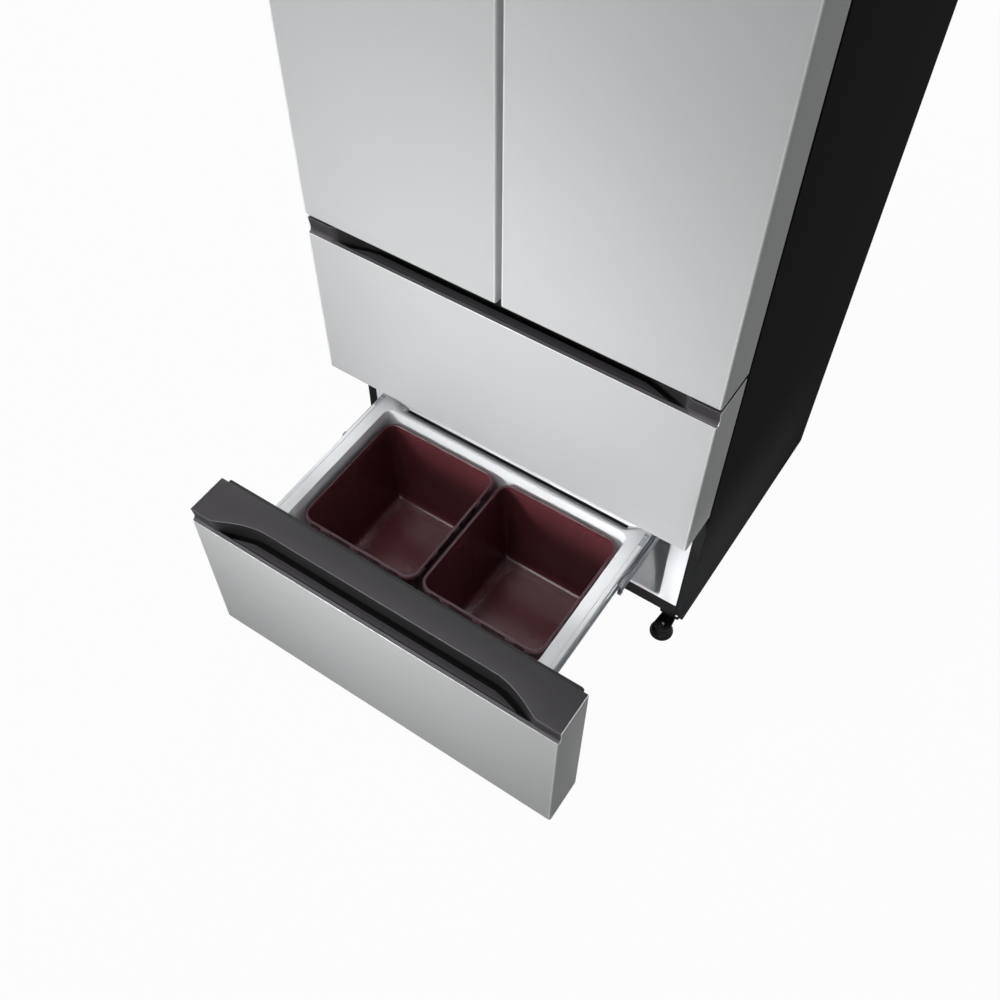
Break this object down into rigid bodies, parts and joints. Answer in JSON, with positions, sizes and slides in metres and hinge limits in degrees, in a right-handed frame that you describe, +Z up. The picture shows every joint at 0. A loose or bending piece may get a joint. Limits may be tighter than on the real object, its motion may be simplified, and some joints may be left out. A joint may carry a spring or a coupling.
{
  "type": "kimchi refrigerator",
  "caption": "Free-standing kimchi refrigerator: hinged upper doors over full-width drawers, the lowest drawn out to show its lift-in containers.",
  "frame": {"origin": "middle of the overall box, with the lower drawer open as at rest, at floor level", "axes": "+Z up, +Y from the front to the wall behind, +X to the right as seen from the front"},
  "size_m": [0.795, 1.0924, 1.853],
  "materials": {
    "silver_steel": "satin",
    "charcoal_plastic": "matte",
    "black_steel": "satin",
    "black_plastic": "satin",
    "white_plastic": "satin",
    "insulation": "matte",
    "seal_rubber": "matte",
    "zinc_steel": "satin",
    "burgundy_plastic": "satin",
    "shelf_glass": "gloss",
    "clear_plastic": "gloss",
    "aluminium": "satin",
    "compressor_black": "satin"
  },
  "bodies": {
    "cabinet": {"outer_case": "black_steel", "foam_body": "insulation", "back_panel": "black_steel", "base_pan": "zinc_steel", "front_rail": "black_steel", "upper_liner": "white_plastic", "middle_liner": "white_plastic", "lower_liner": "white_plastic", "right_shelf": "shelf_glass", "left_shelf": "shelf_glass", "duct_cover": "white_plastic", "evaporator": "aluminium", "compressor": "compressor_black", "condenser": "aluminium", "machine_cover": "black_steel", "right_foot_bracket": "black_plastic", "left_foot_bracket": "black_plastic", "right_top_hinge": "zinc_steel", "left_top_hinge": "zinc_steel", "right_mid_hinge": "zinc_steel", "left_mid_hinge": "zinc_steel", "hinge_cover": "charcoal_plastic", "right_middle_cabinet_rail": "zinc_steel", "left_middle_cabinet_rail": "zinc_steel", "right_lower_cabinet_rail": "zinc_steel", "left_lower_cabinet_rail": "zinc_steel"},
    "right_door": {"right_door_skin": "silver_steel", "right_door_body": "white_plastic", "right_door_seal": "seal_rubber", "right_door_bin": "clear_plastic"},
    "left_door": {"left_door_skin": "silver_steel", "left_door_body": "white_plastic", "left_door_seal": "seal_rubber", "left_door_bin": "clear_plastic"},
    "middle_drawer": {"middle_skin": "silver_steel", "middle_handle_cap": "charcoal_plastic", "middle_front_body": "white_plastic", "middle_seal": "seal_rubber", "middle_tub": "white_plastic", "right_middle_drawer_rail": "zinc_steel", "left_middle_drawer_rail": "zinc_steel"},
    "middle_slides": {"right_middle_floating_rail": "zinc_steel", "left_middle_floating_rail": "zinc_steel"},
    "lower_drawer": {"lower_skin": "silver_steel", "lower_handle_cap": "charcoal_plastic", "lower_front_body": "white_plastic", "lower_seal": "seal_rubber", "lower_tub": "white_plastic", "right_lower_drawer_rail": "zinc_steel", "left_lower_drawer_rail": "zinc_steel", "right_container": "burgundy_plastic", "left_container": "burgundy_plastic"},
    "lower_slides": {"right_lower_floating_rail": "zinc_steel", "left_lower_floating_rail": "zinc_steel"},
    "right_foot": {"right_levelling_foot": "black_plastic"},
    "left_foot": {"left_levelling_foot": "black_plastic"},
    "right_rear_roller": {"right_roller": "black_plastic"},
    "left_rear_roller": {"left_roller": "black_plastic"},
    "duct_fan": {"duct_fan": "black_plastic"},
    "machine_fan": {"machine_fan": "black_plastic"}
  },
  "joints": [
    {"name": "right_door_hinge", "type": "hinge", "parent": "cabinet", "child": "right_door", "pos_m": [0.3855, -0.07575, 0.805], "axis": [0, 0, 1], "range_deg": [0, 120]},
    {"name": "left_door_hinge", "type": "hinge", "parent": "cabinet", "child": "left_door", "pos_m": [-0.3855, -0.07575, 0.805], "axis": [0, 0, -1], "range_deg": [0, 120]},
    {"name": "middle_drawer_slide", "type": "slide", "parent": "cabinet", "child": "middle_drawer", "axis": [0, -1, 0], "range_m": [0, 0.44]},
    {"name": "middle_rail_slide", "type": "slide", "parent": "cabinet", "child": "middle_slides", "axis": [0, -1, 0], "range_m": [0, 0.22]},
    {"name": "lower_drawer_slide", "type": "slide", "parent": "cabinet", "child": "lower_drawer", "axis": [0, -1, 0], "range_m": [-0.4155, 0.03]},
    {"name": "lower_rail_slide", "type": "slide", "parent": "cabinet", "child": "lower_slides", "axis": [0, -1, 0], "range_m": [-0.20775, 0.015]},
    {"name": "right_foot_turn", "type": "hinge", "parent": "cabinet", "child": "right_foot", "pos_m": [0.366, -0.05375, 0], "axis": [0, 0, 1], "continuous": true},
    {"name": "left_foot_turn", "type": "hinge", "parent": "cabinet", "child": "left_foot", "pos_m": [-0.366, -0.05375, 0], "axis": [0, 0, 1], "continuous": true},
    {"name": "right_roller_spin", "type": "hinge", "parent": "cabinet", "child": "right_rear_roller", "pos_m": [0.3355, 0.50825, 0.01785], "axis": [1, 0, 0], "continuous": true},
    {"name": "left_roller_spin", "type": "hinge", "parent": "cabinet", "child": "left_rear_roller", "pos_m": [-0.3355, 0.50825, 0.01785], "axis": [1, 0, 0], "continuous": true},
    {"name": "duct_fan_spin", "type": "hinge", "parent": "cabinet", "child": "duct_fan", "pos_m": [0, 0.4576, 1.23], "axis": [0, 1, 0], "continuous": true},
    {"name": "machine_fan_spin", "type": "hinge", "parent": "cabinet", "child": "machine_fan", "pos_m": [-0.06, 0.47525, 0.157], "axis": [1, 0, 0], "continuous": true}
  ],
  "couplings": [
    {"joint": "middle_rail_slide", "follows": "middle_drawer_slide", "ratio": 0.5},
    {"joint": "lower_rail_slide", "follows": "lower_drawer_slide", "ratio": 0.5}
  ]
}
